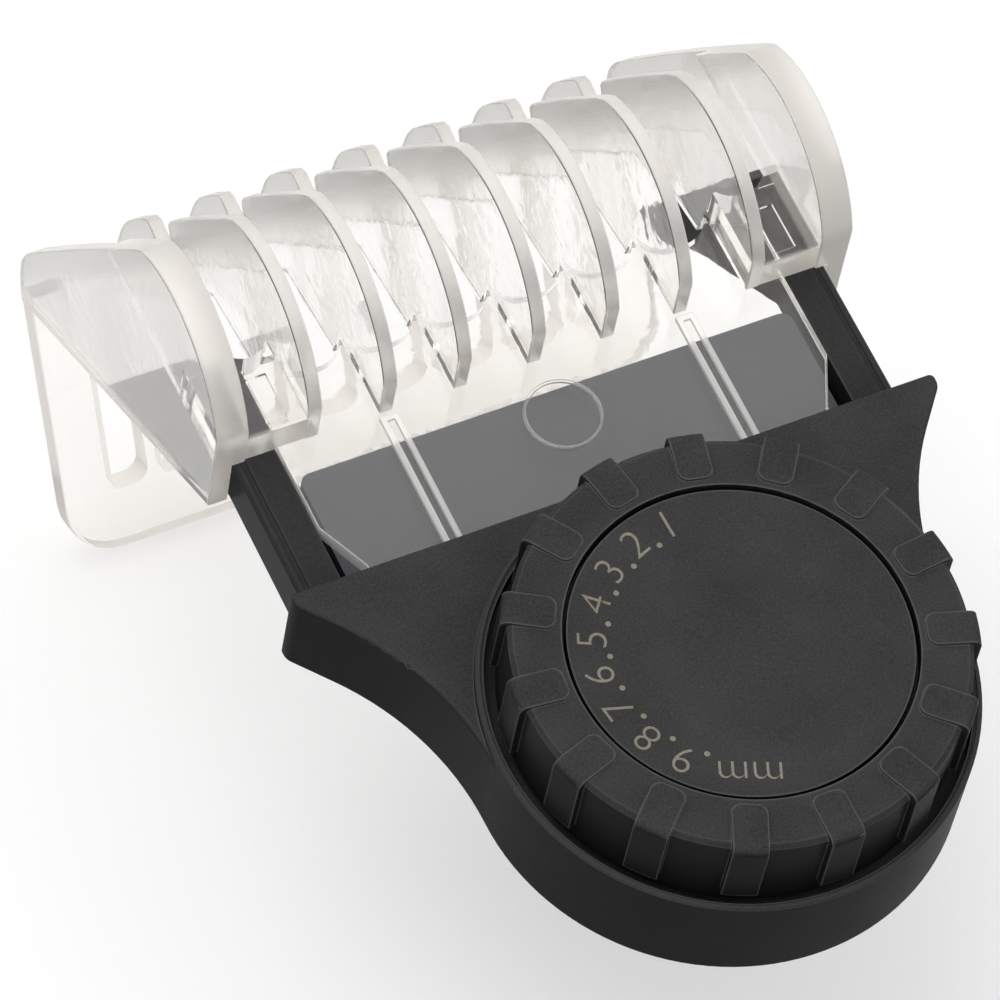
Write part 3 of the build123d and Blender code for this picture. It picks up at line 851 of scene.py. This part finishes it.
def lay_on_dish(thing, angle, radius):
    """Turn a flat print so that its top points outwards, and lay it on the dish."""
    turn = Matrix.Rotation(math.radians(angle - 90), 4, "Z")
    thing.data.transform(turn @ Matrix.Translation((0, radius, 0)))
    for vertex in thing.data.vertices:
        vertex.co.z = dish_height(vertex.co.x, vertex.co.y) + PRINT_HIGH


def printed_text(name, text):
    """Flat print, centred on its own middle, as a mesh."""
    curve = bpy.data.curves.new(name, "FONT")
    curve.body = text
    curve.size = DIGIT_SIZE
    curve.offset = -STROKE_THINNING
    curve.align_x = "CENTER"
    curve.align_y = "CENTER"
    holder = bpy.data.objects.new(name, curve)
    bpy.context.scene.collection.objects.link(holder)
    graph = bpy.context.evaluated_depsgraph_get()
    mesh = bpy.data.meshes.new_from_object(holder.evaluated_get(graph))
    bpy.data.objects.remove(holder)
    thing = bpy.data.objects.new(name, mesh)
    bpy.context.scene.collection.objects.link(thing)
    return thing


def printed_dot(name):
    builder = bmesh.new()
    builder.faces.new([builder.verts.new((x, y, 0)) for x, y in circle(0, 0, DOT_RADIUS, 24)])
    return mesh_object(name, builder)


prints = []
for number in range(1, 10):
    digit = printed_text(f"print_{number}", str(number))
    lay_on_dish(digit, FIRST_ANGLE + (number - 1) * STEP_ANGLE, PRINT_RING)
    dot = printed_dot(f"print_dot_{number}")
    lay_on_dish(dot, FIRST_ANGLE + (number - 0.5) * STEP_ANGLE, DOT_RING)
    prints += [digit, dot]
unit = printed_text("print_unit", "mm")
lay_on_dish(unit, UNIT_ANGLE, PRINT_RING)
prints.append(unit)
for piece in prints:
    piece.data.materials.clear()
    piece.data.materials.append(print_grey)
    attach(piece, "dial")

# ---------------------------------------------------------------- floor
FLOOR_Z = -36.3 * MM
FLOOR_HALF = 3.0
PAPER = grey(0.95)
PAPER_FOR_BOUNCE = grey(0.3)

builder = bmesh.new()
corners = box_outline(-FLOOR_HALF, FLOOR_HALF, -FLOOR_HALF, FLOOR_HALF)
builder.faces.new([builder.verts.new((x, y, FLOOR_Z)) for x, y in corners])
floor = mesh_object("floor", builder)
paper, paper_shader = new_material("floor_paper")
# light that bounces off the floor on to the part is dimmer than the floor itself looks
bounce = add_node(paper, "ShaderNodeLightPath").outputs["Is Diffuse Ray"]
link(paper, colour_ramp(paper, bounce, PAPER, PAPER_FOR_BOUNCE), paper_shader.inputs["Base Color"])
paper_shader.inputs["Roughness"].default_value = 0.9
floor.data.materials.append(paper)

# ---------------------------------------------------------------- light
HORIZON = (0.12, 0.12, 0.125)
SKY_START, SKY_FULL = 0.02, 0.5
SKY_STRENGTH = 1.05
KEY_PLACE = Vector((-0.25, 0.15, 0.75))
KEY_AIM = Vector(mm(0, 20, 5))
KEY_SIZE = 0.5
KEY_WATTS = 1.7

world = bpy.data.worlds.new("studio")
bpy.context.scene.world = world
bpy.context.scene.view_settings.view_transform = "Standard"
world.use_nodes = True
background = world.node_tree.nodes["Background"]
height = split(world, add_node(world, "ShaderNodeTexCoord").outputs["Generated"])["Z"]
sky = colour_ramp(world, height, HORIZON, grey(1), SKY_START, SKY_FULL)
link(world, sky, background.inputs["Color"])
background.inputs["Strength"].default_value = SKY_STRENGTH

key = bpy.data.lights.new("key", "AREA")
key.size = KEY_SIZE
key.energy = KEY_WATTS
lamp = bpy.data.objects.new("key", key)
lamp.location = KEY_PLACE
lamp.rotation_euler = (KEY_AIM - KEY_PLACE).to_track_quat("-Z", "Y").to_euler()
bpy.context.scene.collection.objects.link(lamp)

# ---------------------------------------------------------------- camera
VIEW_AZIMUTH = math.radians(-35.97)
VIEW_ELEVATION = math.radians(58.18)
VIEW_ROLL = math.radians(12.69)
VIEW_DISTANCE = 486.2 * MM
VIEW_AIM = Vector(mm(-6.8, 20.27, 4.0))
FOCAL_LENGTH = 260.2
SENSOR_WIDTH = 36.0

towards_camera = Vector((
    math.sin(VIEW_AZIMUTH) * math.cos(VIEW_ELEVATION),
    -math.cos(VIEW_AZIMUTH) * math.cos(VIEW_ELEVATION),
    math.sin(VIEW_ELEVATION),
))
lens = bpy.data.cameras.new("camera")
lens.lens = FOCAL_LENGTH
lens.sensor_width = SENSOR_WIDTH
lens.clip_start = 0.01
camera = bpy.data.objects.new("camera", lens)
place = Matrix.Translation(VIEW_AIM + towards_camera * VIEW_DISTANCE)
level = towards_camera.to_track_quat("Z", "Y").to_matrix().to_4x4()
camera.matrix_world = place @ level @ Matrix.Rotation(VIEW_ROLL, 4, "Z")
bpy.context.scene.collection.objects.link(camera)
bpy.context.scene.camera = camera
